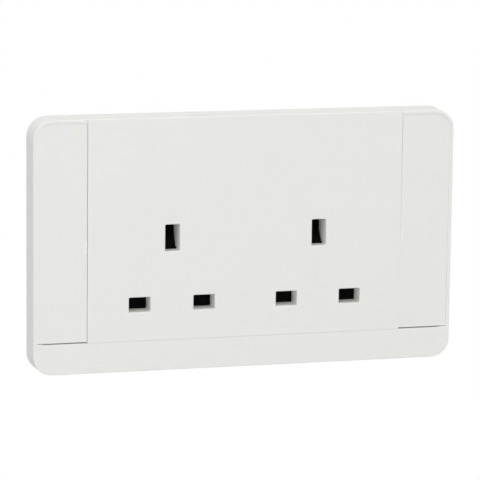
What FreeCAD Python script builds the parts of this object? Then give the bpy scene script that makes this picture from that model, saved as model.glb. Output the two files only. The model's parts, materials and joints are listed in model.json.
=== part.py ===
import FreeCAD, Part
import math
import os

# A British twin socket outlet, 13 A, with a press panel for a switch at each end of its plate.
# Frame: the origin is the middle of the plate in the plane of the wall, X runs to the right as seen
# from the front, Z up, and Y into the wall. The front face looks along -Y. Millimetres throughout.

V = FreeCAD.Vector

# Plate: the outline at the wall, the front face's distance from the wall, its walls and edges
plate_width = 146.0
plate_height = 86.0
plate_depth = 9.4
side_draft = 0.4
corner_radius = 6.8
edge_round = 0.4
face_thickness = 2.0
side_wall = 1.2

# Seams of the front, with the press panels' width and the height of the strip along the bottom
end_width = 18.22
panel_seam = 0.15
rim_seam = 0.03
strip_height = 10.3
strip_wall = 1.4
panel_bottom_gap = 0.42
cover_bottom_gap = 0.04
cover_rear_gap = 0.2
gusset_reach = (1.2, 1.8)
gusset_height = 0.28
rim_groove = 0.08

# Skirts of the front mouldings, and how far a piece runs into the moulding that it stands on
skirt_wall = 1.2
skirt_gap = 0.2
root = 0.5
# How far a cutter runs past the face that it opens
past = 1.0

# Web of the surround, behind the front, which holds everything and is screwed to the wall box
web_back = 0.5
web_thickness = 2.0
wall_hole_inset = 12.7
wall_hole_diameter = 4.2
wall_boss_radius = 3.6

# Clips at the centre cover's sides, which pass through the web and catch behind it
clip_rises = (16.0, 50.0)
clip_width = 6.0
clip_barb = (0.6, 0.8)
clip_play = (0.2, 0.1)

# Outlets: places of the pins, and the shuttered apertures of the face with their chimneys
outlet_inset = 28.95
line_rise = 12.3
pin_spacing = 22.2
earth_rise = 22.2
line_aperture = (7.4, 5.0)
earth_aperture = (5.0, 9.0)
aperture_lead = 0.3
aperture_round = 0.4
chimney_wall = 1.0
shutter_depth = 6.8
shutter_gap = 0.3

# Shutters: their travel down, blades, neck, ramp in the earth aperture, and return springs
shutter_travel = 8.6
shutter_thickness = 1.7
blade_margin = 0.5
bridge_height = 4.5
ramp_play = 0.3
ramp_depths = (4.6, 10.4)
ramp_edge = 0.3
shutter_spring_radius = 1.5
shutter_spring_turns = 5
spring_wire = 0.2
spring_slot_width = 4.4
spigot_radius = 0.85
spigot_length = 1.6

# Coils are wound in straight steps of a many-sided wire
coil_steps = 8
coil_sides = 6

# Guide plate behind the shutters, with its rails and the shelves for the springs
guide_gap = 0.3
guide_thickness = 1.8
guide_clearance = 0.3
guide_play = 0.2
guide_below = 11.2
guide_above = 33.2
rail_width = 1.0
shelf_thickness = 0.7
shelf_reach = 1.2
shelf_margin = 0.5

# Rear housing: a tray behind the wall plane, with an ear at each lower corner for a switch
housing_depth = 20.0
housing_wall = 1.6
housing_floor = 2.0
housing_inset = 2.38
housing_drop = 0.7
housing_height = 60.0
housing_round = 2.0
ear_inset = 11.0
ear_rise = 11.0
ear_roof = 1.4
ledge_width = 1.0
common_depth = 7.6
guide_wall_back = 1.4

# Terminal bay in the middle of the housing's back, and posts that carry the guide plate
bay_half_width = 8.8
bay_wall = 1.5
bay_roof = 5.0
barrier_thickness = 1.2
barrier_rises = (3.6, 22.4)
post_size = (2.0, 2.4)
post_rises = (-9.4, 1.0, 17.0, 25.0)

# Brass: strips in one plane and folded socket contacts, as heights above the line pins
brass = 0.8
strip_y = 5.6
neutral_rise = (-7.2, -4.2)
link_rise = (5.4, 8.2)
bus_rise = (10.4, 13.2)
earth_strip_rise = (29.0, 32.0)
leaf_bow = 2.6
leaf_nip = 2.15
leaf_flare = 3.0
leaf_steps = (2.0, 4.6)
line_leaf_width = 6.6
earth_leaf_width = 7.6
tab_width = 5.0
earth_tab = (2.0, 5.0)
strip_end = 5.5
line_clip_front = 2.4
line_clip_floor = 7.4
earth_clip_front = 4.9
earth_clip_floor = 3.6

# Pillar terminals and their clamp screws
terminal_width = 7.6
terminal_height = 8.0
terminal_recess = 1.9
earth_terminal_x = 4.4
neck_radius = 1.5
neck_clearance = 0.2
wire_hole_radius = 2.1
wire_hole_depth = 3.4
clamp_screw_radius = 1.75
clamp_point = (0.8, 0.6)
clamp_head_radius = 2.6
clamp_head_height = 1.2
clamp_stand_off = 0.2
clamp_slot = (0.7, 0.6)

# Press panels: a hinge near the top, a peg over the switch, and the way that they rest
hinge_drop = 4.5
hinge_depth = 4.2
hinge_pin_radius = 1.2
running_clearance = 0.05
bearing_inset = (13.5, 6.5)
bearing_wall = (0.7, 0.8)
ear_thickness = 2.0
ear_wall = 0.6
ear_play = 0.3
stub_length = 2.0
panel_recess = 0.12
panel_lean = 0.33
panel_skirt_inset = 0.6
panel_skirt_depth = 0.7
panel_skirt_drop = 4.0

# Hook at a panel's foot, and the catch in front of it that stops the panel
hook_inset = (11.1, 7.1)
hook_play = 0.3
hook_drop = 8.6
hook_thickness = 1.2
hook_nub = (1.8, 1.0)
hook_gap = 0.2
hook_way = (2.9, 1.1)
catch_depth = 4.9
catch_thickness = 1.0
catch_reach = 2.7

# Indicator: a lens at each panel's inner edge, and the board and lamp behind it
lens_size = (1.0, 4.0)
lens_flange = (1.2, 0.8)
lens_seat = (1.4, 1.0)
lens_notch_depth = 0.6
board_size = (1.8, 0.8, 12.0)
lamp_size = (1.4, 0.6, 3.2)
lamp_window = (0.6, 0.2)

# Switch under each panel: plunger and its spring
switch_inset = 3.8
plunger_radius = 1.8
plunger_front = -6.1
plunger_back = 1.9
plunger_nose = 0.8
collar_radius = 2.6
collar_thickness = 0.8
collar_play = 0.5
peg_gap = 0.1
plunger_spring_radius = 2.3
plunger_spring_turns = 4

# See-saw of each switch, drawn level and then turned to its open place
seesaw_y = 7.2
seesaw_offset = 0.8
seesaw_size = (5.2, 6.4, 10.0)
seesaw_front = 3.3
seesaw_notch = (0.9, 2.6)
seesaw_waist = (2.4, 3.4)
seesaw_tilt = 11.0
trunnion_radius = 1.2
trunnion_reach = (0.8, 1.1)
trunnion_play = 0.3

# Contacts of each switch: a moving bar, the live link's saddle and the live bus's rear run
moving_bar = (4.8, -7.0, 9.0)
moving_tip_rise = 7.5
fixed_tip_rise = 6.6
contact_tip_radius = 1.3
moving_tip = (0.6, 0.3)
fixed_tip = (0.4, 0.2)
saddle_front = 11.6
saddle_rise = (-1.0, 1.4)
saddle_reach = 1.6
riser_rise = (1.8, 3.4)
riser_steps = (3.2, 3.4, 4.8)
link_way = 2.0
way_play = 0.5
bus_rear_front = 13.6
bus_step = (8.0, 4.0)
bus_end = 0.2

# Screws that hold the housing to the surround
housing_screw_inset = 5.8
housing_screw_drops = (4.8, 6.0)
screw_radius = 1.5
screw_play = (0.2, 0.3)
screw_head_radius = 2.8
screw_head_height = 1.8
screw_head_depth = 4.0
screw_end = -6.5
screw_pillar_radius = 3.4
screw_slot = (0.8, 3.4, 0.8)

# Planes and places of the plate, worked out from the sizes above
front = -plate_depth
face_back = front + face_thickness
web_y = (-web_back - web_thickness, -web_back)
half_w = plate_width / 2 - side_draft
half_h = plate_height / 2 - side_draft
cavity_x = half_w - side_wall
cavity_z = half_h - side_wall
seam_x = half_w - end_width
strip_top = -half_h + strip_height
cover_x = seam_x - panel_seam / 2
cover_z = strip_top + cover_bottom_gap
panel_x = seam_x + panel_seam / 2
panel_outer_x = cavity_x - rim_seam
panel_z = strip_top + panel_bottom_gap
wall_hole_x = plate_width / 2 - wall_hole_inset

# Outlets, shutters and guide plate
outlet_x = seam_x - outlet_inset
outlets = (-outlet_x, outlet_x)
half_pins = pin_spacing / 2
line_z = strip_top + line_rise
earth_z = line_z + earth_rise
earth_low = earth_z - earth_aperture[1] / 2
earth_high = earth_z + earth_aperture[1] / 2
shutter_y = (front + shutter_depth, front + shutter_depth + shutter_thickness)
chimney_back = shutter_y[0] - shutter_gap
blade_size = tuple(size + 2 * blade_margin for size in line_aperture)
blade_top = line_z + blade_size[1] / 2
bridge_top = blade_top + bridge_height
ramp_width = earth_aperture[0] - 2 * ramp_play
ramp_y = tuple(front + depth for depth in ramp_depths)
ramp_z = (earth_low - ramp_play, earth_high - ramp_play)
spring_y = sum(shutter_y) / 2
guide_y = (shutter_y[1] + guide_gap, shutter_y[1] + guide_gap + guide_thickness)
guide_z = (line_z - guide_below, line_z + guide_above)

# Housing, its screws and the terminal bay
housing_x = seam_x - housing_inset
housing_inside = housing_x - housing_wall
housing_z = (strip_top - housing_drop, strip_top - housing_drop + housing_height)
guide_x = housing_inside - guide_play
ear_x = plate_width / 2 - ear_inset
ear_top = line_z + ear_rise
floor_y = housing_depth - housing_floor
bay_floor = common_depth + bay_wall
screw_x = housing_x - housing_screw_inset
screw_z = (housing_z[1] - housing_screw_drops[0], housing_z[0] + housing_screw_drops[1])
screw_seat = housing_depth - screw_head_depth

# Brass strips, contacts and terminals
strip = (strip_y - brass / 2, strip_y + brass / 2)
neutral_z = tuple(line_z + rise for rise in neutral_rise)
link_z = tuple(line_z + rise for rise in link_rise)
bus_z = tuple(line_z + rise for rise in bus_rise)
earth_strip_z = tuple(line_z + rise for rise in earth_strip_rise)
line_clip = (line_clip_front, floor_y - line_clip_floor)
earth_clip = (earth_clip_front, floor_y - earth_clip_floor)
terminal_back = housing_depth - terminal_recess
wire_y = bay_floor + wire_hole_depth
live_spot = (0.0, sum(bus_z) / 2)
neutral_spot = (0.0, sum(neutral_z) / 2)
earth_spots = tuple((x, sum(earth_strip_z) / 2) for x in (-earth_terminal_x, earth_terminal_x))
terminal_spots = (live_spot, neutral_spot) + earth_spots

# Panels, hooks, indicators and switches
panel_front = front + panel_recess
panel_back = panel_front + face_thickness
hinge_y = front + hinge_depth
hinge_z = plate_height / 2 - hinge_drop
bearing_x = tuple(plate_width / 2 - inset for inset in bearing_inset)
hook_x = tuple(plate_width / 2 - inset for inset in hook_inset)
hook_z = line_z - hook_drop
catch_y = front + catch_depth
lamp_x = panel_x + lens_size[0]
board_front = web_y[0] - board_size[1]
lamp_front = board_front - lamp_size[1]
switch_x = ear_x - switch_inset
seesaw_back = seesaw_y - seesaw_front + seesaw_size[1]
trunnion_x = (housing_x - trunnion_reach[0], ear_x - trunnion_reach[1])
riser_x = (housing_x + screw_play[0], housing_x + screw_play[0] + brass)


def box(x, y, z):
    """A block between two limits along each axis, given in either order."""
    (x0, x1), (y0, y1), (z0, z1) = sorted(x), sorted(y), sorted(z)
    return Part.makeBox(x1 - x0, y1 - y0, z1 - z0, V(x0, y0, z0))


def around(middle, size):
    """The two limits of a stretch of the given size about its middle."""
    return (middle - size / 2, middle + size / 2)


def rod_y(x, z, radius, y):
    """A round bar along Y between two limits."""
    return Part.makeCylinder(radius, max(y) - min(y), V(x, min(y), z), V(0, 1, 0))


def rod_x(y, z, radius, x):
    """A round bar along X between two limits."""
    return Part.makeCylinder(radius, max(x) - min(x), V(min(x), y, z), V(1, 0, 0))


def rod_z(x, y, radius, z):
    """A round bar along Z between two limits."""
    return Part.makeCylinder(radius, max(z) - min(z), V(x, y, min(z)), V(0, 0, 1))


def fuse(pieces):
    """One solid from pieces that meet."""
    return pieces[0].multiFuse(pieces[1:]).removeSplitter() if len(pieces) > 1 else pieces[0]


def at_side(shape, side):
    """The shape as drawn for the right end, or its mirror image for the left."""
    return shape if side > 0 else shape.mirror(V(0, 0, 0), V(1, 0, 0))


def both_sides(shapes):
    """Shapes drawn for the right end, each with its mirror image."""
    return [at_side(shape, side) for shape in shapes for side in (1, -1)]


def rounded_outline(width, height, radius, y):
    """A rectangle with arcs for corners, in the plane at depth y."""
    w, h = width / 2 - radius, height / 2 - radius
    arcs, ends = [], []
    for cx, cz, start in ((w, h, 0), (-w, h, 90), (-w, -h, 180), (w, -h, 270)):
        turns = [math.radians(start + turn) for turn in (0, 45, 90)]
        p = [V(cx + radius * math.cos(t), y, cz + radius * math.sin(t)) for t in turns]
        arcs.append(Part.Arc(*p).toShape())
        ends.append((p[0], p[2]))
    lines = [Part.LineSegment(ends[i][1], ends[(i + 1) % 4][0]).toShape() for i in range(4)]
    return Part.Wire([edge for pair in zip(arcs, lines) for edge in pair])


def rounded_block(x, y, z, radius):
    """A block whose four edges along Y are rounded."""
    solid = box(x, y, z)
    upright = [e for e in solid.Edges if abs(e.tangentAt(e.FirstParameter).y) > 0.99]
    return solid.makeFillet(radius, upright)


def extruded(points, sweep):
    """A closed outline of points carried along a vector."""
    corners = [V(*point) for point in points]
    return Part.Face(Part.makePolygon(corners + corners[:1])).extrude(V(*sweep))


def coil(centre, axis, length, radius, turns):
    """A compression spring: a many-sided wire wound on a helix about an axis.

    Ring i of the wire sits at angle 2 pi i / steps and height length i / (steps turns), across the
    helix's own direction, and neighbouring rings are joined by triangles.
    """
    across = V(1, 0, 0)
    third = axis.cross(across)
    rise = (length - 2 * spring_wire) / (coil_steps * turns)
    rings = []
    for i in range(coil_steps * turns + 1):
        turn = 2 * math.pi * i / coil_steps
        out = across * math.cos(turn) + third * math.sin(turn)
        middle = centre + out * radius + axis * (spring_wire + rise * i)
        ahead = (third * math.cos(turn) - across * math.sin(turn)) * radius
        ahead = (ahead + axis * (rise * coil_steps / (2 * math.pi))).normalize()
        side = ahead.cross(out)
        spots = [2 * math.pi * k / coil_sides for k in range(coil_sides)]
        rings.append([middle + (out * math.cos(a) + side * math.sin(a)) * spring_wire for a in spots])
    faces = []
    for ring, following in zip(rings, rings[1:]):
        for k in range(coil_sides):
            a, b = ring[k], ring[(k + 1) % coil_sides]
            c, d = following[(k + 1) % coil_sides], following[k]
            faces.append(Part.Face(Part.makePolygon([a, b, c, a])))
            faces.append(Part.Face(Part.makePolygon([a, c, d, a])))
    for ring in (rings[0], rings[-1]):
        middle = sum(ring[1:], ring[0]) * (1 / coil_sides)
        for k in range(coil_sides):
            corners = [middle, ring[k], ring[(k + 1) % coil_sides], middle]
            faces.append(Part.Face(Part.makePolygon(corners)))
    solid = Part.makeSolid(Part.makeShell(faces))
    return solid if solid.Volume > 0 else solid.reversed()


def plate_envelope():
    """The whole plate as one block: drafted sides, round corners and a rounded front edge."""
    back = rounded_outline(plate_width, plate_height, corner_radius, 0)
    face = rounded_outline(2 * half_w, 2 * half_h, corner_radius - side_draft, front)
    solid = Part.makeLoft([back, face], True, True)
    on_front = [e for e in solid.Edges if all(abs(v.Y - front) < running_clearance for v in e.Vertexes)]
    return solid.makeFillet(edge_round, on_front)


def aperture(cx, cz, size, back):
    """The cutter of one pin aperture, with its lead-in at the front face."""
    w, h = size
    straight = rounded_block(around(cx, w), (front - past, back), around(cz, h), aperture_round)
    mouth = rounded_outline(w + 2 * aperture_lead, h + 2 * aperture_lead,
                            aperture_round + aperture_lead, front)
    throat = rounded_outline(w, h, aperture_round, front + aperture_lead)
    lead = Part.makeLoft([mouth, throat], True, True)
    lead.translate(V(cx, 0, cz))
    return straight.fuse(lead)


def line_spots(cx):
    """The middles of one outlet's neutral and live apertures."""
    return ((cx - half_pins, line_z), (cx + half_pins, line_z))


def chimney(cx, cz, size, back):
    """The wall behind the face about one aperture."""
    w, h = (length + 2 * chimney_wall for length in size)
    return rounded_block(around(cx, w), (face_back - root, back), around(cz, h),
                         aperture_round + chimney_wall)


def end_clip():
    """A clip at the centre cover's right side: a leg through the web, with a barb behind it."""
    reach, thickness = clip_barb
    back = web_y[1] + clip_play[1] + thickness
    pieces = []
    for rise in clip_rises:
        z = around(line_z + rise, clip_width)
        pieces.append(box((cover_x - skirt_wall, cover_x), (web_y[0] - root, back), z))
        pieces.append(box((cover_x - skirt_wall, cover_x + reach), (back - thickness, back), z))
    return pieces


def clip_ways():
    """The slots in the web that the right side's clips pass through."""
    play = clip_play[0]
    return [box((cover_x - skirt_wall - play, cover_x + clip_barb[0] + play), (web_y[0] - past, past),
                around(line_z + rise, clip_width + 2 * play)) for rise in clip_rises]


def strip_gusset():
    """The right end of the strip's top, where it rises into the rim."""
    full, fade = gusset_reach
    x = cavity_x + root
    points = ((x, strip_top - root), (cavity_x - full - fade, strip_top - root),
              (cavity_x - full - fade, strip_top), (cavity_x - full, strip_top + gusset_height),
              (x, strip_top + gusset_height))
    return extruded([(px, front, pz) for px, pz in points], (0, web_y[0] - front, 0))


def rim_line():
    """The fine groove across the right rim's front, level with the strip's top."""
    half = rim_groove / 2
    points = ((front - rim_groove, strip_top - 2 * half), (front + rim_groove, strip_top),
              (front - rim_groove, strip_top + 2 * half))
    return extruded([(cavity_x, py, pz) for py, pz in points], (side_wall + past, 0, 0))


def end_pocket(inset, inner_x, low_z, back):
    """The space in front of the right end's web, inside the rim by an inset and above a height."""
    y = (front - past, back)
    radius = corner_radius - side_draft - side_wall
    pocket = Part.makeLoft([rounded_outline(2 * (cavity_x - inset), 2 * (cavity_z - inset), radius, depth)
                            for depth in y], True, True)
    return pocket.common(box((inner_x, plate_width), y, (low_z, plate_height)))


def surround_frame(envelope):
    """Side walls, the strip along the bottom, and the web with its holes, moulded in one."""
    inside = Part.makeLoft([
        rounded_outline(2 * cavity_x, 2 * cavity_z, corner_radius - side_draft - side_wall, y)
        for y in (face_back, past)], True, True)
    cover_room = box((-seam_x, seam_x), (front - past, face_back + cover_rear_gap),
                     (strip_top, plate_height))
    panel_room = end_pocket(0, seam_x - past, strip_top, face_back + root)
    shell = envelope.cut(inside).cut(fuse([cover_room] + both_sides([panel_room])))
    web = inside.common(box((-plate_width, plate_width), web_y, (-plate_height, plate_height)))
    shelf = box((-cavity_x, cavity_x), (face_back - root, web_y[0]),
                (strip_top - strip_wall, strip_top))
    front_wall, end_wall = bearing_wall
    bearing = box(bearing_x, (hinge_y - hinge_pin_radius - front_wall, web_y[0]),
                  around(hinge_z, 2 * (hinge_pin_radius + end_wall)))
    bore = rod_x(hinge_y, hinge_z, hinge_pin_radius + running_clearance,
                 (bearing_x[0] - past, bearing_x[1] + past))
    catch = box(hook_x, (catch_y, catch_y + catch_thickness), (strip_top, strip_top + catch_reach))
    boss = rod_y(wall_hole_x, 0, wall_boss_radius, (web_y[0], 0))
    pillars = [rod_y(screw_x, z, screw_pillar_radius, (face_back + cover_rear_gap, web_y[1]))
               for z in screw_z]
    additions = [bearing.cut(bore), catch, boss, strip_gusset()] + pillars
    frame = fuse([shell, web, shelf] + both_sides(additions))
    through = (web_y[0] - past, web_y[1] + past)
    window = box((-guide_x - guide_clearance, guide_x + guide_clearance), (web_y[0], through[1]),
                 (housing_z[0] + housing_wall - root, guide_z[1] + guide_clearance))
    pillar_room = box((screw_x - screw_pillar_radius, plate_width), through,
                      (-plate_height, screw_z[1] + screw_pillar_radius))
    window = window.cut(fuse(both_sides([pillar_room])))
    low, high = hook_way
    long_way = (front + face_thickness, past)
    ways = [rod_y(wall_hole_x, 0, wall_hole_diameter / 2, long_way),
            rod_y(switch_x, line_z, collar_radius + collar_play, long_way),
            box(hook_x, long_way, (hook_z - low, hook_z + high)), rim_line()]
    ways += [rod_y(screw_x, z, screw_radius + running_clearance, (screw_end - screw_play[1], past))
             for z in screw_z]
    return frame.cut(window).cut(Part.makeCompound(both_sides(ways + clip_ways())))


def centre_cover(envelope):
    """The face moulding between the panels: flat front, skirts, clips and a chimney a pin."""
    cap = envelope.common(box((-cover_x, cover_x), (front - past, face_back), (cover_z, plate_height)))
    top = cavity_z - skirt_gap
    deep = (face_back - root, web_y[0])
    skirts = both_sides([box((cover_x - skirt_wall, cover_x), deep, (cover_z, top))] + end_clip())
    skirts.append(box((-cover_x, cover_x), deep, (top - skirt_wall, top)))
    skirts.append(box((-cover_x, cover_x), (face_back - root, chimney_back - strip_wall),
                      (cover_z, cover_z + skirt_wall)))
    chimneys, ways = [], []
    for cx in outlets:
        for x, z in line_spots(cx):
            chimneys.append(chimney(x, z, line_aperture, chimney_back))
            ways.append(aperture(x, z, line_aperture, chimney_back + past))
        tall = chimney(cx, earth_z, earth_aperture, shutter_y[1])
        foot = box(around(cx, earth_aperture[0] + 2 * chimney_wall + past),
                   (ramp_y[0] - ramp_play, shutter_y[1] + past),
                   (earth_low - 2 * chimney_wall, earth_low + aperture_round))
        chimneys.append(tall.cut(foot))
        ways.append(aperture(cx, earth_z, earth_aperture, shutter_y[1] + past))
    return fuse([cap] + skirts + chimneys).cut(Part.makeCompound(ways))


def lean_at(z):
    """How far a leaning panel rests behind its drawn place at height z."""
    return (hinge_z - z) * math.tan(math.radians(panel_lean))


def rested(shape):
    """A panel's piece turned about its hinge from its drawn place to the way that it rests."""
    return shape.rotate(V(0, hinge_y, hinge_z), V(1, 0, 0), panel_lean)


def panel_skirt():
    """The stiffening wall behind the right panel's cap, open where the hook's catch passes."""
    x = (panel_x + panel_skirt_inset, panel_outer_x - panel_skirt_inset)
    z = (panel_z + panel_skirt_inset, hinge_z - panel_skirt_drop)
    y = (panel_back - root, panel_back + panel_skirt_depth)
    hollow = box((x[0] + skirt_wall, x[1] - skirt_wall), (y[0] - past, y[1] + past),
                 (z[0] + skirt_wall, z[1] - skirt_wall))
    catch_room = box((hook_x[0] - hook_play, hook_x[1] + hook_play), (panel_back, y[1] + past),
                     (panel_z, hook_z))
    return box(x, y, z).cut(hollow).cut(catch_room)


def hinge_ears():
    """The two ears of the right panel, each with a stub that turns in the bearing between them."""
    pieces = []
    for edge, inward in ((bearing_x[0] - ear_play, 1), (bearing_x[1] + ear_play, -1)):
        pieces.append(box((edge, edge - inward * ear_thickness),
                          (panel_back - root, hinge_y + hinge_pin_radius + ear_wall),
                          around(hinge_z, 2 * (hinge_pin_radius + ear_wall))))
        pieces.append(rod_x(hinge_y, hinge_z, hinge_pin_radius, (edge, edge + inward * stub_length)))
    return pieces


def foot_hook():
    """The hook at the right panel's foot: a post, and a nub that stops behind the catch."""
    x = (hook_x[0] + hook_play, hook_x[1] - hook_play)
    reach, thickness = hook_nub
    back = catch_y + catch_thickness + hook_gap + thickness - lean_at(hook_z)
    post = box(x, (panel_back - root, back), around(hook_z, hook_thickness))
    nub = box(x, (back - thickness, back), (hook_z, hook_z - hook_thickness / 2 - reach))
    return [post, nub]


def press_panel(envelope):
    """The right panel: cap, stiffening skirt, hinge ears, press peg, foot hook and lens notch."""
    cap = envelope.common(end_pocket(rim_seam, panel_x, panel_z, face_back))
    cap.translate(V(0, panel_recess, 0))
    peg = rod_y(switch_x, line_z, plunger_radius,
                (panel_back - root, plunger_front - peg_gap - lean_at(line_z)))
    panel = fuse([cap, panel_skirt(), peg] + hinge_ears() + foot_hook())
    width, height = lens_size
    notch = box((panel_x - past, panel_x + width), (front - past, panel_back + lens_notch_depth),
                around(0, height))
    seat = box((panel_x - past, panel_x + width + lens_seat[0]),
               (panel_back, panel_back + panel_skirt_depth + past), around(0, height + 2 * lens_seat[1]))
    return rested(panel.cut(notch).cut(seat))


def indicator_lens():
    """The clear tip that shows at the panel's inner edge, on a flange glued behind the face."""
    width, height = lens_size
    reach, thickness = lens_flange
    tip = box((panel_x, panel_x + width), (panel_front, panel_back), around(0, height))
    flange = box((panel_x, panel_x + width + reach), (panel_back, panel_back + thickness),
                 around(0, height + 2 * thickness))
    return rested(fuse([tip, flange]))


def indicator_board():
    """The small circuit board under the lens, on the front of the web."""
    width, thickness, height = board_size
    return box(around(lamp_x, width), (board_front, board_front + thickness), around(0, height))


def indicator_lamp():
    """The lamp on the board: a flat body with a round window."""
    width, thickness, height = lamp_size
    radius, proud = lamp_window
    body = box(around(lamp_x, width), (lamp_front, lamp_front + thickness), around(0, height))
    return fuse([body, rod_y(lamp_x, 0, radius, (lamp_front - proud, lamp_front))])


def post_spots():
    """Posts that carry the guide plate across the terminal bay, between the brass strips."""
    return [(side * (bay_half_width + bay_wall / 2), line_z + rise)
            for side in (1, -1) for rise in post_rises]


def rear_housing():
    """The tray behind the wall plane, with switch bays in its ears and the terminal bay behind."""
    y = (web_y[1], housing_depth)
    low, high = housing_z[0] + housing_wall, housing_z[1] - housing_wall
    main = rounded_block((-housing_x, housing_x), y, housing_z, housing_round)
    ears = rounded_block((-ear_x, ear_x), y, (housing_z[0], ear_top), housing_round)
    common_x = housing_inside - ledge_width
    mouth = box((-housing_inside, housing_inside), (y[0] - past, guide_y[1]), (low, high))
    common = box((-common_x, common_x), (0, common_depth), (low, high))
    terminal_bay = box((-bay_half_width, bay_half_width), (bay_floor, housing_depth + past),
                       (housing_z[0] - past, housing_z[1] - bay_roof))
    well = box((bay_half_width + bay_wall, common_x), (common_depth - past, floor_y), (low, high))
    switch_bay = box((housing_x, ear_x - housing_wall), (guide_wall_back, floor_y),
                     (low, ear_top - ear_roof))
    plunger_way = rod_y(switch_x, line_z, plunger_radius + running_clearance,
                        (y[0] - past, guide_wall_back + past))
    brass_way = box((housing_inside - link_way, housing_x + past),
                    (strip[0] - way_play, bus_rear_front + brass + way_play),
                    (link_z[0] - way_play, link_z[1] + way_play))
    bearings = rod_x(seesaw_y, line_z, trunnion_radius + running_clearance,
                     (trunnion_x[0] - trunnion_play, trunnion_x[1] + trunnion_play))
    hollows = [mouth, common, terminal_bay] + both_sides([well, switch_bay, plunger_way, brass_way,
                                                          bearings])
    tray = fuse([main, ears])
    for hollow in hollows:
        tray = tray.cut(hollow)
    barriers = [box((-bay_half_width, bay_half_width), (bay_floor, floor_y),
                    around(line_z + rise, barrier_thickness)) for rise in barrier_rises]
    width, height = post_size
    posts = [box(around(x, width), (guide_y[1], common_depth), around(z, height))
             for x, z in post_spots()]
    bosses = both_sides([rod_y(screw_x, z, screw_pillar_radius, y) for z in screw_z])
    tray = fuse([tray] + barriers + posts + bosses)
    holes = []
    for z in screw_z:
        holes.append(rod_y(screw_x, z, screw_radius + screw_play[0], (y[0] - past, housing_depth)))
        holes.append(rod_y(screw_x, z, screw_head_radius + screw_play[1],
                           (screw_seat, housing_depth + past)))
    for hole in both_sides(holes):
        tray = tray.cut(hole)
    for x, z in terminal_spots:
        tray = tray.cut(rod_y(x, z, neck_radius + neck_clearance,
                              (common_depth - past, bay_floor + past)))
    return tray


def guide_plate():
    """The plate that the shutters slide on, with pin holes, ramp and spring slots, rails and shelves."""
    pieces = [box((-guide_x, guide_x), guide_y, guide_z)]
    rail = half_pins + blade_size[0] / 2 + guide_clearance
    shelf_top = guide_z[0] + shelf_thickness
    through = (guide_y[0] - past, guide_y[1] + past)
    ways = []
    for cx in outlets:
        for side in (1, -1):
            pieces.append(box((cx + side * rail, cx + side * (rail + rail_width)),
                              (shutter_y[0], guide_y[0]), (guide_z[0], bridge_top)))
        pieces.append(box(around(cx, spring_slot_width + 2 * shelf_margin),
                          (shutter_y[0] - shelf_reach, guide_y[0]), (guide_z[0], shelf_top)))
        for x, z in line_spots(cx):
            ways.append(box(around(x, line_aperture[0]), through, around(z, line_aperture[1])))
        ways.append(box(around(cx, earth_aperture[0]), through,
                        (ramp_z[0] - shutter_travel - guide_clearance, earth_high)))
        ways.append(box(around(cx, spring_slot_width), through, (shelf_top, blade_top)))
    room = screw_pillar_radius + guide_clearance
    corner = box((screw_x - room, housing_x), through, (housing_z[0], screw_z[1] + room))
    return fuse(pieces).cut(Part.makeCompound(ways)).cut(corner).cut(at_side(corner, -1))


def shutter(cx):
    """One outlet's shutter: two blades, a bridge, and a ramp that the earth pin pushes down."""
    reach = half_pins + blade_size[0] / 2
    pieces = [box((cx - reach, cx + reach), shutter_y, (blade_top, bridge_top))]
    for x, z in line_spots(cx):
        pieces.append(box(around(x, blade_size[0]), shutter_y,
                          (line_z - blade_size[1] / 2, blade_top + root)))
    low, high = ramp_z
    pieces.append(box(around(cx, ramp_width), shutter_y, (bridge_top - root, low + root)))
    x = cx - ramp_width / 2
    outline = ((ramp_y[0], low), (ramp_y[1] - ramp_edge, high), (ramp_y[1], high), (ramp_y[1], low))
    pieces.append(extruded([(x, py, pz) for py, pz in outline], (ramp_width, 0, 0)))
    pieces.append(rod_z(cx, spring_y, spigot_radius, (blade_top - spigot_length, blade_top + root)))
    return fuse(pieces)


def shutter_spring(cx):
    """The coil that pushes the shutter back up, from the guide plate's shelf to the bridge."""
    bottom = guide_z[0] + shelf_thickness
    return coil(V(cx, spring_y, bottom), V(0, 0, 1), blade_top - bottom, shutter_spring_radius,
                shutter_spring_turns)


def folded_strip(points, sweep):
    """Sheet brass bent along a line of points: both sides and the round ends come from the offset."""
    line = Part.makePolygon(points)
    return line.makeOffset2D(brass / 2, 0, True, False).extrude(V(*sweep))


def clip_outline(ends):
    """The bent line of a socket contact: flared mouth, nip, and two leaves from a folded back."""
    mouth, back = ends
    nip, bow = leaf_steps
    half = [(mouth, leaf_flare), (mouth + nip, leaf_nip), (mouth + bow, leaf_bow), (back, leaf_bow)]
    return half + [(depth, -reach) for depth, reach in reversed(half)]


def line_contact(x):
    """A contact for a line or neutral pin: its leaves lie above and below the pin."""
    start = x - line_leaf_width / 2
    points = [V(start, depth, line_z + reach) for depth, reach in clip_outline(line_clip)]
    return folded_strip(points, (line_leaf_width, 0, 0))


def earth_contact(cx):
    """A contact for an earth pin: its leaves lie left and right of the pin."""
    z = earth_z - earth_leaf_width / 2
    points = [V(cx + reach, depth, z) for depth, reach in clip_outline(earth_clip)]
    return folded_strip(points, (0, 0, earth_leaf_width))


def neutral_strip():
    """The neutral conductor: both outlets' neutral contacts on one strip below them."""
    half = line_leaf_width / 2
    contacts = [cx - half_pins for cx in outlets]
    pieces = [box((contacts[0] - half, contacts[1] + half), strip, neutral_z)]
    for x in contacts:
        pieces.append(line_contact(x))
        pieces.append(box(around(x, tab_width), strip, (neutral_z[1] - root, line_z - leaf_bow)))
    return fuse(pieces)


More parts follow.
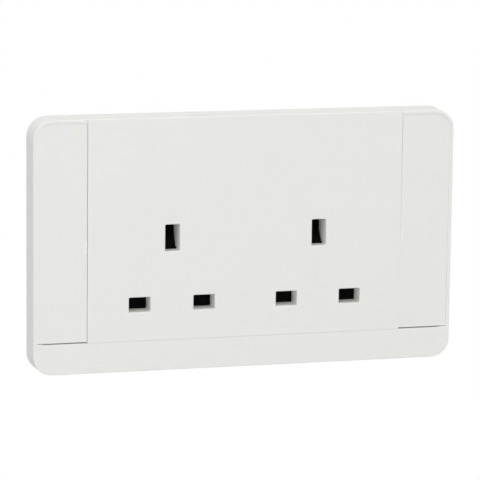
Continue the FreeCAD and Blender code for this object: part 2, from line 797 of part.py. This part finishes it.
def earth_strip():
    """The earth conductor: both outlets' earth contacts on one strip above them."""
    near, far = earth_tab
    pieces = [box((outlets[0] - strip_end, outlets[1] + strip_end), strip, earth_strip_z)]
    for cx in outlets:
        pieces.append(earth_contact(cx))
        for side in (1, -1):
            pieces.append(box((cx + side * near, cx + side * far), strip,
                              (earth_z + earth_leaf_width / 2 - root, earth_strip_z[0] + root)))
    return fuse(pieces)


def live_link(cx, side):
    """An outlet's live contact, with its own strip to the saddle that its switch rocks on."""
    x = cx + half_pins
    saddle = (saddle_front, saddle_front + brass)
    saddle_z = tuple(line_z + rise for rise in saddle_rise)
    foot, neck, head = (strip_y + step for step in riser_steps)
    low, high = (line_z + rise for rise in riser_rise)
    reach = [box((x * side - tab_width / 2, riser_x[1]), strip, link_z),
             box(riser_x, (strip[0], foot), link_z),
             box(riser_x, (strip[0], head), (low, link_z[0] + root)),
             box(riser_x, (neck, saddle[1]), (saddle_z[0], high)),
             box((riser_x[0], switch_x + saddle_reach), saddle, saddle_z)]
    pieces = [line_contact(x), box(around(x, tab_width), strip, (line_z + leaf_bow, link_z[0] + root))]
    return fuse(pieces + [at_side(piece, side) for piece in reach])


def live_bus():
    """The live conductor: a strip across the housing that steps back to each switch's fixed contact."""
    inset, width = bus_step
    step_x = housing_x - inset
    rear = (bus_rear_front, bus_rear_front + brass)
    proud, sunk = fixed_tip
    low = link_z[0] + way_play / 2
    arm = [box((step_x, step_x + brass), (strip[0], rear[1]), bus_z),
           box((step_x, step_x + width), rear, (low, bus_z[1])),
           box((step_x, switch_x + bus_end), rear, (low, link_z[1])),
           rod_y(switch_x, line_z + fixed_tip_rise, contact_tip_radius,
                 (rear[0] - proud, rear[0] + sunk))]
    return fuse([box((-step_x - brass, step_x + brass), strip, bus_z)] + both_sides(arm))


def terminal(spot):
    """A pillar terminal: a brass block with a wire hole, a clamp screw's hole and a riveted neck."""
    x, z = spot
    block = box(around(x, terminal_width), (bay_floor, terminal_back), around(z, terminal_height))
    neck = rod_y(x, z, neck_radius, (strip[1], bay_floor + root))
    wire_hole = rod_z(x, wire_y, wire_hole_radius, around(z, terminal_height + 2 * past))
    screw_hole = rod_y(x, z, clamp_screw_radius + running_clearance, (wire_y, terminal_back + past))
    return fuse([block, neck]).cut(wire_hole).cut(screw_hole)


def clamp_screw(spot):
    """A terminal's clamp screw: shank with a pointed end, and a slotted cheese head."""
    x, z = spot
    seat = terminal_back + clamp_stand_off
    point, share = clamp_point
    width, depth = clamp_slot
    shank = rod_y(x, z, clamp_screw_radius, (wire_y + point, seat))
    tip = Part.makeCone(clamp_screw_radius * share, clamp_screw_radius, point,
                        V(x, wire_y, z), V(0, 1, 0))
    head = rod_y(x, z, clamp_head_radius, (seat, seat + clamp_head_height))
    slot = box(around(x, width), (seat + clamp_head_height - depth, seat + clamp_head_height + past),
               around(z, 2 * clamp_head_radius + past))
    return fuse([shank, tip, head]).cut(slot)


def plunger():
    """The pin under a panel: a collar for its spring, and a round nose that works the see-saw."""
    collar = rod_y(switch_x, line_z, collar_radius, (plunger_front, plunger_front + collar_thickness))
    stem = rod_y(switch_x, line_z, plunger_radius, (plunger_front, plunger_back))
    nose = [e for e in stem.Edges if e.Closed and e.CenterOfMass.y > plunger_back - running_clearance]
    return fuse([collar, stem.makeFillet(plunger_nose, nose)])


def plunger_spring():
    """The coil about the plunger, from its collar to the housing."""
    start = plunger_front + collar_thickness
    return coil(V(switch_x, start, line_z), V(0, 1, 0), web_y[1] - start, plunger_spring_radius,
                plunger_spring_turns)


def tilted(shape):
    """A switch piece turned from its level place to its open one, top towards the front."""
    return shape.rotate(V(0, seesaw_y, line_z), V(1, 0, 0), seesaw_tilt)


def seesaw():
    """The rocking carrier of a switch: trunnions, a notch for the plunger, and a flat back."""
    width, depth, height = seesaw_size
    y0 = seesaw_y - seesaw_front
    x = around(switch_x - seesaw_offset, width)
    wide = (x[0] - past, x[1] + past)
    behind, notch_radius = seesaw_notch
    cut_depth, half_waist = seesaw_waist
    body = box(x, (y0, y0 + depth), around(line_z, height))
    pins = rod_x(seesaw_y, line_z, trunnion_radius, trunnion_x)
    shape = fuse([body, pins]).cut(rod_x(y0 - behind, line_z, notch_radius, wide))
    for end in (1, -1):
        shape = shape.cut(box(wide, (y0 - past, y0 + cut_depth),
                              (line_z + end * half_waist, line_z + end * height)))
    return tilted(shape)


def moving_contact():
    """The brass bar on the see-saw's back, with a tip that meets the bus when it closes."""
    width, low, high = moving_bar
    sunk, proud = moving_tip
    bar = box(around(switch_x - seesaw_offset, width), (seesaw_back, seesaw_back + brass),
              (line_z + low, line_z + high))
    tip = rod_y(switch_x, line_z + moving_tip_rise, contact_tip_radius,
                (seesaw_back + brass - sunk, seesaw_back + brass + proud))
    return tilted(fuse([bar, tip]))


def housing_screw(x, z):
    """A self-tapping screw from the back of the housing into the surround, with a cross recess."""
    width, length, depth = screw_slot
    top = screw_seat + screw_head_height
    shank = rod_y(x, z, screw_radius, (screw_end, screw_seat + root))
    head = rod_y(x, z, screw_head_radius, (screw_seat, top))
    upright = box(around(x, width), (top - depth, top + past), around(z, length))
    level = box(around(x, length), (top - depth, top + past), around(z, width))
    return fuse([shank, head]).cut(upright).cut(level)


def build():
    """Every node of the part, by name."""
    envelope = plate_envelope()
    screws = [housing_screw(side * screw_x, z) for side in (1, -1) for z in screw_z]
    nodes = {
        "surround_frame": surround_frame(envelope),
        "centre_cover": centre_cover(envelope),
        "rear_housing": rear_housing(),
        "guide_plate": guide_plate(),
        "neutral_strip": neutral_strip(),
        "earth_strip": earth_strip(),
        "live_bus": live_bus(),
        "neutral_terminal": terminal(neutral_spot),
        "live_terminal": terminal(live_spot),
        "earth_terminals": Part.makeCompound([terminal(spot) for spot in earth_spots]),
        "clamp_screws": Part.makeCompound([clamp_screw(spot) for spot in terminal_spots]),
        "housing_screws": Part.makeCompound(screws),
    }
    at_end = {
        "press_panel": press_panel(envelope),
        "indicator_lens": indicator_lens(),
        "indicator_board": indicator_board(),
        "indicator_lamp": indicator_lamp(),
        "plunger": plunger(),
        "plunger_spring": plunger_spring(),
        "seesaw": seesaw(),
        "moving_contact": moving_contact(),
    }
    for cx, side, name in ((outlets[0], -1, "left"), (outlets[1], 1, "right")):
        nodes[f"shutter_{name}"] = shutter(cx)
        nodes[f"shutter_spring_{name}"] = shutter_spring(cx)
        nodes[f"live_link_{name}"] = live_link(cx, side)
        for node, shape in at_end.items():
            nodes[f"{node}_{name}"] = at_side(shape, side)
    return nodes


os.makedirs("parts", exist_ok=True)
for name, shape in build().items():
    solids = len(shape.Solids)
    print(f"{name}: {solids} solid(s), {shape.Volume:.1f} mm3, valid {shape.isValid()}")
    shape.exportStep(f"parts/{name}.step")
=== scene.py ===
# %% [markdown]
# # A British twin socket, dressed for a picture
#
# The object is a white wall plate with two sets of shuttered pin apertures and a press panel at
# each end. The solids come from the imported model, in metres, with the wall in the plane y = 0,
# +Z up, and the front face looking along -Y. This lesson gives them their finishes, winds the
# springs that solids draw too plainly, and sets up the picture.


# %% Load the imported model
import bpy, bmesh, json, math
import numpy as np
from mathutils import Matrix, Vector


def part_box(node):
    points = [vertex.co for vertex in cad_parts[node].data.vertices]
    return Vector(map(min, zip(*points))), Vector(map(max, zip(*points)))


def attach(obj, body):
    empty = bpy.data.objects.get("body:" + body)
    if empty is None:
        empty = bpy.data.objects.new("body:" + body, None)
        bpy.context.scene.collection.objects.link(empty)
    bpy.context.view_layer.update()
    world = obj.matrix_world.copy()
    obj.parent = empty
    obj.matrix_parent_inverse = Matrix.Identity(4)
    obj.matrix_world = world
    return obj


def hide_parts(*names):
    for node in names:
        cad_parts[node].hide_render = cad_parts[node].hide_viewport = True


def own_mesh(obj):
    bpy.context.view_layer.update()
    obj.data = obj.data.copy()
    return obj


MM = 0.001

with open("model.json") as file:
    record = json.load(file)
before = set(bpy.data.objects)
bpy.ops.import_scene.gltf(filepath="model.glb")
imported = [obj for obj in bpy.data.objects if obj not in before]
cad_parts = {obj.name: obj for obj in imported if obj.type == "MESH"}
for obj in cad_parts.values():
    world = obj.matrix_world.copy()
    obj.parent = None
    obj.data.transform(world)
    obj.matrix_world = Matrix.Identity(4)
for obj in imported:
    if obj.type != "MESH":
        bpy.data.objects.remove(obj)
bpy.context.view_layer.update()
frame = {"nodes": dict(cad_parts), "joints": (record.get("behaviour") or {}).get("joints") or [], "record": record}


# %% [markdown]
# ## The camera
#
# A camera can be placed by eye, but this one was found by fitting a pinhole to the corners and
# apertures seen in the photograph, so that render and photograph lie on each other. It stands a
# metre away, a little left of the plate and above it, and is turned by less than a degree about
# its own line of sight. The lens follows from the focal length in pixels.


# %% Place the camera
AZIMUTH, ELEVATION, ROLL = (math.radians(a) for a in (-15.82, 10.13, 0.666))
DISTANCE = 1027.0 * MM
AIM = Vector((0.46, 0.0, -1.13)) * MM
FOCAL_PIXELS, PICTURE_PIXELS = 3043.5, 480
SENSOR_WIDTH = 36.0
NEAREST, FARTHEST = 0.01, 20.0

back = Vector((math.sin(AZIMUTH) * math.cos(ELEVATION),
               -math.cos(AZIMUTH) * math.cos(ELEVATION),
               math.sin(ELEVATION)))
level = Vector((math.cos(AZIMUTH), math.sin(AZIMUTH), 0.0))
upright = back.cross(level)
right = level * math.cos(ROLL) + upright * math.sin(ROLL)
up = upright * math.cos(ROLL) - level * math.sin(ROLL)

camera = bpy.data.objects.new("camera", bpy.data.cameras.new("camera"))
bpy.context.scene.collection.objects.link(camera)
camera.data.sensor_width = SENSOR_WIDTH
camera.data.lens = FOCAL_PIXELS / PICTURE_PIXELS * SENSOR_WIDTH
camera.data.clip_start, camera.data.clip_end = NEAREST, FARTHEST
camera.matrix_world = Matrix((right, up, back)).transposed().to_4x4()
camera.location = AIM + back * DISTANCE
bpy.context.scene.camera = camera
bpy.context.scene.view_settings.view_transform = "Standard"
print("lens", round(camera.data.lens, 1), "mm, at", round(DISTANCE / MM), "mm")


# %% [markdown]
# ## Shader maths as Python expressions
#
# A material here is a graph of nodes. Placing each by hand hides the sum that they make. So one
# function adds any node and returns its output, and wrapping that output in a small class lets an
# expression such as `1 - mask * 0.5` add the Math nodes by itself.


# %% A node, and a socket that does arithmetic
def add_node(tree, kind, settings=None, values=None, output=0):
    """Adds a node of that kind: settings first, then its sockets' values or links."""
    node = tree.nodes.new(kind)
    for name, value in (settings or {}).items():
        setattr(node, name, value)
    for name, value in (values or {}).items():
        if isinstance(value, Link):
            tree.links.new(value.socket, node.inputs[name])
        else:
            node.inputs[name].default_value = value
    return Link(tree, node.outputs[output]) if node.outputs else None


class Link:
    """An output socket; arithmetic on it adds Math nodes to its tree and returns a new Link."""

    def __init__(self, tree, socket):
        self.tree, self.socket = tree, socket

    def _math(self, operation, *values):
        return add_node(self.tree, "ShaderNodeMath", {"operation": operation},
                        dict(enumerate(values)))

    def __add__(self, other): return self._math("ADD", self, other)
    def __radd__(self, other): return self._math("ADD", other, self)
    def __sub__(self, other): return self._math("SUBTRACT", self, other)
    def __rsub__(self, other): return self._math("SUBTRACT", other, self)
    def __mul__(self, other): return self._math("MULTIPLY", self, other)
    def __rmul__(self, other): return self._math("MULTIPLY", other, self)
    def __or__(self, other): return self._math("MAXIMUM", self, other)


# %% A finish: one material and the nodes that vary over its surface
class Finish:
    """A Principled material. Constants go on its sockets; what varies is linked from nodes."""

    def __init__(self, name, **constants):
        self.name = name
        self.material = bpy.data.materials.new(name)
        self.material.use_nodes = True
        self.tree = self.material.node_tree
        self.shader = next(n for n in self.tree.nodes if n.type == "BSDF_PRINCIPLED")
        for socket, value in constants.items():
            self.shader.inputs[socket.replace("_", " ")].default_value = value

    def add(self, kind, settings=None, values=None, output=0):
        return add_node(self.tree, kind, settings, values, output)

    def place(self, scale=(1, 1, 1), turn=(0, 0, 0)):
        """The point on the surface in the object's own metres, turned, stretched on each axis."""
        point = self.add("ShaderNodeTexCoord", output="Object")
        return self.add("ShaderNodeMapping",
                        values={"Vector": point, "Rotation": turn, "Scale": scale})

    def noise(self, point, per_metre, detail=3.0):
        """A soft random value from 0 to 1 with so many bumps to the metre."""
        return self.add("ShaderNodeTexNoise", values={
            "Vector": point, "Scale": per_metre, "Detail": detail})

    def between(self, value, low, high):
        """The value stretched from low..high to 0..1 and held there."""
        return self.add("ShaderNodeMapRange", values={
            "Value": value, "From Min": low, "From Max": high})

    def blend(self, factor, first, second):
        """A colour that goes from the first to the second as the factor goes from 0 to 1."""
        return self.add("ShaderNodeMix", {"data_type": "RGBA"},
                        {"Factor": factor, "A": (*first, 1), "B": (*second, 1)},
                        output="Result")

    def feed(self, **links):
        for socket, link in links.items():
            self.tree.links.new(link.socket, self.shader.inputs[socket.replace("_", " ")])

    def bump(self, height, depth_mm, strength=1.0):
        """Feeds Normal from a height of 0 to 1 that stands for a depth in millimetres."""
        self.feed(Normal=self.add("ShaderNodeBump", values={
            "Height": height, "Distance": depth_mm * MM, "Strength": strength}))


# %% A shelf for the finishes, by the name of their slot
FINISHES = {}


def shelve(finish):
    FINISHES[finish.name] = finish.material
    print("finish", finish.name, "with", len(finish.tree.nodes), "nodes")


# %% [markdown]
# ## White moulding
#
# The face, the strip and the end panels are urea mouldings: opaque white with a faint warmth, a
# soft sheen, and a surface so even that only a very fine ripple breaks a reflection. One constant
# colour would look drawn, so a slow noise moves it by about one part in a hundred, and another
# moves the roughness. Light goes a sixth of a millimetre deep, which softens the lips of the
# seams; any deeper, and the thin gaps round the panels turn dark.


# %% The white of the plate
WHITE, WHITE_DEEP = (0.915, 0.924, 0.892), (0.905, 0.914, 0.880)
LIGHT_DEPTH_MM = 0.15


def white_moulding():
    """Even silky white: cloudy by a hundredth, with a ripple of a few micrometres."""
    finish = Finish("white_moulding", IOR=1.5, Specular_IOR_Level=0.4,
                    Coat_Weight=0.05, Coat_Roughness=0.3, Subsurface_Weight=1.0,
                    Subsurface_Radius=(1.0, 0.97, 0.9), Subsurface_Scale=LIGHT_DEPTH_MM * MM)
    point = finish.place()
    cloud = finish.noise(point, per_metre=35.0, detail=2.0)
    rub = finish.noise(point, per_metre=160.0)
    ripple = finish.noise(point, per_metre=2600.0, detail=2.0)
    finish.feed(Base_Color=finish.blend(cloud, WHITE_DEEP, WHITE), Roughness=0.44 + 0.08 * rub)
    finish.bump(ripple, depth_mm=0.004)
    return finish


shelve(white_moulding())


# %% [markdown]
# ## Matt mouldings
#
# The housing, guide plate, shutters and switch parts are moulded from duller compounds. Each could
# have a material of its own, but they differ in four knobs only, so they share one recipe: the
# colour, the roughness, the depth of the spark-eroded grain that the mould leaves on hidden faces,
# and the sheen. The guide plate and the shutters are nearly black and dull, as the deep apertures
# of the photograph are.


# %% A matt moulding in any colour
DARKEST, LIGHTEST = 0.88, 1.05
ROUGHNESS_SWING = 0.12


def matt_moulding(name, colour, roughness, grain_mm, sheen):
    """A moulding whose colour wanders by a tenth and whose grain is a fine noise."""
    finish = Finish(name, IOR=1.48, Specular_IOR_Level=sheen)
    point = finish.place()
    cloud = finish.noise(point, per_metre=60.0, detail=4.0)
    rub = finish.noise(point, per_metre=300.0)
    grain = finish.noise(point, per_metre=1800.0)
    dark, light = ([min(1.0, c * share) for c in colour] for share in (DARKEST, LIGHTEST))
    finish.feed(Base_Color=finish.blend(cloud, dark, light),
                Roughness=roughness - ROUGHNESS_SWING / 2 + ROUGHNESS_SWING * rub)
    finish.bump(grain, grain_mm)
    return finish


for name, *knobs in (
        ("housing_moulding", (0.60, 0.60, 0.58), 0.5, 0.02, 0.5),
        ("guide_moulding", (0.008, 0.008, 0.008), 0.5, 0.02, 0.1),
        ("shutter_moulding", (0.003, 0.003, 0.003), 0.5, 0.01, 0.04),
        ("switch_moulding", (0.42, 0.42, 0.40), 0.45, 0.01, 0.5)):
    shelve(matt_moulding(name, *knobs))


# %% [markdown]
# ## Metals
#
# The contacts are stamped from rolled brass sheet, so fine lines run along the strip and a little
# tarnish clouds it. The screws are zinc-plated steel, the springs bright drawn wire, and the
# switch tips silvered. A picture of brushed metal could be laid over them, but a noise stretched
# along one axis by the Mapping node needs no picture and no unwrapping.


# %% A metal with drawn or rolled lines
TARNISH_FROM, TARNISH_TO = 0.45, 0.75


def metal(name, bright, dull, roughness, stretch):
    """Metal whose tarnish is a soft noise, and whose rolling lines follow the short axes."""
    finish = Finish(name, Metallic=1.0)
    spots = finish.noise(finish.place(), per_metre=220.0, detail=5.0)
    tarnish = finish.between(spots, TARNISH_FROM, TARNISH_TO)
    lines = finish.noise(finish.place(stretch), per_metre=3000.0, detail=2.0)
    finish.feed(Base_Color=finish.blend(tarnish, bright, dull),
                Roughness=roughness + 0.16 * tarnish + 0.08 * lines)
    finish.bump(lines, depth_mm=0.004, strength=0.6)
    return finish


for name, *knobs in (
        ("brass", (0.80, 0.59, 0.28), (0.62, 0.42, 0.18), 0.24, (1, 6, 6)),
        ("plated_steel", (0.66, 0.65, 0.62), (0.50, 0.50, 0.48), 0.28, (1, 1, 1)),
        ("spring_steel", (0.60, 0.60, 0.61), (0.48, 0.48, 0.49), 0.2, (4, 4, 1)),
        ("contact_silver", (0.78, 0.66, 0.46), (0.62, 0.48, 0.28), 0.25, (6, 6, 1))):
    shelve(metal(name, *knobs))


# %% [markdown]
# ## Indicator: lens, board and lamp
#
# The lens is a plastic slip, frosted so that the lamp behind it glows evenly; unlit, it is milky.
# Clear glass with a white backing would do the same at the cost of another piece, so the haze is
# in the colour. The board is green glass-fibre with copper tracks under the lacquer: the tracks
# could be printed from a drawing, but a brick grid, squeezed narrow, gives the same rows. The lamp
# is a white package with a yellow window.


# %% Lens, board and lamp finishes
def clear_lens():
    """Frosted plastic: milky, with a trace of transmission and a haze that moves its roughness."""
    finish = Finish("clear_lens", IOR=1.49, Transmission_Weight=0.02)
    haze = finish.noise(finish.place(), per_metre=900.0)
    finish.feed(Base_Color=finish.blend(haze, (0.94, 0.95, 0.935), (0.98, 0.985, 0.975)),
                Roughness=0.2 + 0.2 * haze)
    return finish


def circuit_board():
    """Green lacquer; tracks are the bands of a stretched brick grid and stand slightly proud."""
    finish = Finish("circuit_board", Roughness=0.35, Coat_Weight=0.4, Coat_Roughness=0.1)
    upright_grid = finish.place((900.0, 500.0, 900.0), turn=(math.radians(90), 0, 0))
    gap = finish.add("ShaderNodeTexBrick", {"offset": 0.35}, {
        "Vector": upright_grid, "Scale": 1.0, "Mortar Size": 0.12}, output="Fac")
    finish.feed(Base_Color=finish.blend(gap, (0.045, 0.21, 0.09), (0.02, 0.12, 0.05)))
    finish.bump(1 - gap, depth_mm=0.03)
    return finish


def lamp_body():
    """A white package, mottled between yellow and cream by a noise."""
    finish = Finish("lamp_body", Roughness=0.35)
    window = finish.noise(finish.place(), per_metre=1500.0)
    finish.feed(Base_Color=finish.blend(window, (0.84, 0.82, 0.62), (0.88, 0.87, 0.80)))
    return finish


for finish in (clear_lens(), circuit_board(), lamp_body()):
    shelve(finish)


# %% [markdown]
# ## Every slot gets its finish
#
# The model's record says which slot each node belongs to, as the real parts list says what each
# part is made of. Reading it saves a second list here that could disagree with the first.


# %% Give every slot its finish
slot_of = {part["node"]: part["material_slot"] for part in frame["record"]["subparts"]}
for node, piece in frame["nodes"].items():
    for slot in piece.material_slots:
        slot.material = FINISHES[slot_of[node]]
print("finished", len(slot_of), "nodes with", len(FINISHES), "materials")


# %% [markdown]
# ## Springs in round wire
#
# Each shutter and each press panel has a coil spring that pushes it back. The imported springs are
# coils in straight steps, which is enough to say where they are. Seen through an aperture or with
# the cover off, a spring is smooth wire with closed ends. A Screw modifier winds an even helix
# only, so each spring is computed: a path that closes up at both ends, and rings of points round
# it. It rides on the plate.


# %% The path of the wire, and a tube round a path
STEPS_PER_TURN, SIDES = 40, 14
CLOSED_TURNS = 0.75
EVEN_SHARE = 0.65
ACROSS = np.array((1.0, 0.0, 0.0))


def coil_path(start, axis, length, radius, wire, turns):
    """The middle of the wire, and the outward direction at each of its points.

    Along the wire, t runs from 0 to 1 and the angle is 2 pi turns t. The height climbs by one
    thickness of the wire over the closed turns at each end. Between them it follows a ramp, part
    even and part eased, whose eased part is 3 r^2 - 2 r^3.
    """
    t = np.linspace(0.0, 1.0, turns * STEPS_PER_TURN + 1)
    angle = 2 * np.pi * turns * t
    flat = CLOSED_TURNS / turns
    even = np.clip((t - flat) / (1 - 2 * flat), 0, 1)
    eased = even * even * (3 - 2 * even)
    low = wire + 2 * wire * np.clip(t / flat, 0, 1)
    high = length - wire - 2 * wire * np.clip((1 - t) / flat, 0, 1)
    height = low + (high - low) * (eased * (1 - EVEN_SHARE) + even * EVEN_SHARE)
    outward = (np.cos(angle)[:, None] * ACROSS
               + np.sin(angle)[:, None] * np.cross(axis, ACROSS))
    return start + outward * radius + height[:, None] * axis, outward


def tube(path, outward, wire):
    """Points and faces of a closed tube round a path.

    A ring's point at angle a is the path's point plus the wire's radius times
    (outward cos a + sideways sin a), where sideways is square to outward and to the path.
    """
    ahead = np.gradient(path, axis=0)
    ahead /= np.linalg.norm(ahead, axis=1)[:, None]
    sideways = np.cross(ahead, outward)
    turn = np.linspace(0, 2 * np.pi, SIDES, endpoint=False)[None, :, None]
    rings = (outward[:, None, :] * np.cos(turn) + sideways[:, None, :] * np.sin(turn)) * wire
    points = (path[:, None, :] + rings).reshape(-1, 3)
    row, column = np.meshgrid(np.arange(len(path) - 1), np.arange(SIDES), indexing="ij")
    here = row * SIDES + column
    beside = row * SIDES + (column + 1) % SIDES
    quads = np.stack([here, beside, beside + SIDES, here + SIDES], axis=-1).reshape(-1, 4)
    caps = [list(range(SIDES))[::-1], list(range(len(points) - SIDES, len(points)))]
    return points, quads.tolist() + caps


# %% Make a piece of it
def spring(name, start, axis, length, radius, wire, turns):
    """A spring of round wire; `radius` is the coil's and `wire` the wire's, in millimetres."""
    path, outward = coil_path(start, axis, length, radius, wire, turns)
    points, faces = tube(path, outward, wire)
    mesh = bpy.data.meshes.new(name)
    mesh.from_pydata((points * MM).tolist(), [], faces)
    shell = bmesh.new()
    shell.from_mesh(mesh)
    bmesh.ops.recalc_face_normals(shell, faces=shell.faces)
    shell.to_mesh(mesh)
    shell.free()
    mesh.polygons.foreach_set("use_smooth", [True] * len(mesh.polygons))
    mesh.materials.append(FINISHES["spring_steel"])
    piece = bpy.data.objects.new(name, mesh)
    bpy.context.scene.collection.objects.link(piece)
    return piece


# %% Wind one for each coil of the model, in place of its stepped coil
WIRE_RADIUS = 0.2
TURNS = {"shutter_spring": 7, "plunger_spring": 5}

for joint in frame["joints"]:
    for coil in joint.get("deforming_nodes", ()):
        kind, end = coil["node"].rsplit("_", 1)
        letter = coil["mode"][-1]
        axis = np.eye(3)["xyz".index(letter)]
        low, high = (np.array(corner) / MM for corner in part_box(coil["node"]))
        length = (high - low) @ axis
        start = (low + high) / 2 * (1 - axis) + low * axis
        wire = spring(f"{kind}_wire_{end}", start, axis, length,
                      (high - low)[0] / 2 - WIRE_RADIUS, WIRE_RADIUS, TURNS[kind])
        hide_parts(coil["node"])
        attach(wire, "plate")
        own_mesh(wire)


# %% [markdown]
# ## Stage and light
#
# The picture has a plain white ground. More light could turn the ground white, but the white
# plate would burn out with it, so what the camera, a mirror or a lens sees of the world is white
# at strength 1, and everything else is lit by an even, weaker world, as in a light tent. Two broad
# lamps help: one in front, a little to the left and above, and one overhead that lifts the top
# side. In such light the face, the rounded edges and the seams' lips come out alike, and only the
# left side, which the front lamp barely reaches, is darker.


# %% White background
WORLD_STRENGTH = 0.595


def start_tree(owner):
    """An empty node tree on a world or a material."""
    owner.use_nodes = True
    owner.node_tree.nodes.clear()
    return owner.node_tree


def ray_is(tree, kind):
    """1 for a ray of that kind, else 0."""
    return add_node(tree, "ShaderNodeLightPath", output=f"Is {kind} Ray")


def mix_by_ray(tree, seen, others, shown, output):
    """Ends a tree with `shown` for the rays where `seen` is 1 and `others` for the rest."""
    mixed = add_node(tree, "ShaderNodeMixShader", values={0: seen, 1: others, 2: shown})
    add_node(tree, output, values={"Surface": mixed})


def background(tree, strength):
    return add_node(tree, "ShaderNodeBackground",
                    values={"Color": (1, 1, 1, 1), "Strength": strength})


world = bpy.data.worlds.new("studio")
bpy.context.scene.world = world
tree = start_tree(world)
seen = ray_is(tree, "Camera") | (ray_is(tree, "Glossy") | ray_is(tree, "Transmission"))
mix_by_ray(tree, seen, background(tree, WORLD_STRENGTH), background(tree, 1.0),
           "ShaderNodeOutputWorld")
print("world", world.name, "with", len(tree.nodes), "nodes")


# %% Two lamps
def lamp(name, where, size, watts):
    """A square area lamp at a point in metres, turned to the middle of the plate."""
    light = bpy.data.objects.new(name, bpy.data.lights.new(name, "AREA"))
    light.data.shape, light.data.size, light.data.energy = "SQUARE", size, watts
    light.location = where
    light.rotation_euler = (-Vector(where)).to_track_quat("-Z", "Y").to_euler()
    bpy.context.scene.collection.objects.link(light)
    print("lamp", name, size, "m wide,", watts, "W, at", round(Vector(where).length, 2), "m")


lamp("key", (-0.31, -1.03, 0.6), size=1.4, watts=5.7)
lamp("top", (0.0, -0.3, 1.17), size=1.0, watts=1.9)


# %% [markdown]
# ## The floor
#
# The real plate hangs on a wall, and the photograph shows it on plain white. A floor well below
# the plate throws light up at its underside, as a pale room does. It glows white for the camera
# and is pale paint for every other ray.


# %% A pale floor below the plate
FLOOR_Z, REACH = -0.25, 4.0

floor_mesh = bpy.data.meshes.new("floor")
floor_mesh.from_pydata([(x * REACH, y * REACH, FLOOR_Z)
                        for x, y in ((-1, -1), (1, -1), (1, 1), (-1, 1))], [], [(0, 1, 2, 3)])
floor = bpy.data.objects.new("floor", floor_mesh)
bpy.context.scene.collection.objects.link(floor)
ground = bpy.data.materials.new("floor")
tree = start_tree(ground)
paint = add_node(tree, "ShaderNodeBsdfDiffuse", values={"Color": (0.8, 0.8, 0.8, 1)})
mix_by_ray(tree, ray_is(tree, "Camera"), paint, add_node(tree, "ShaderNodeEmission"),
           "ShaderNodeOutputMaterial")
floor_mesh.materials.append(ground)
print("floor", 2 * REACH, "m wide at z", FLOOR_Z, "m")
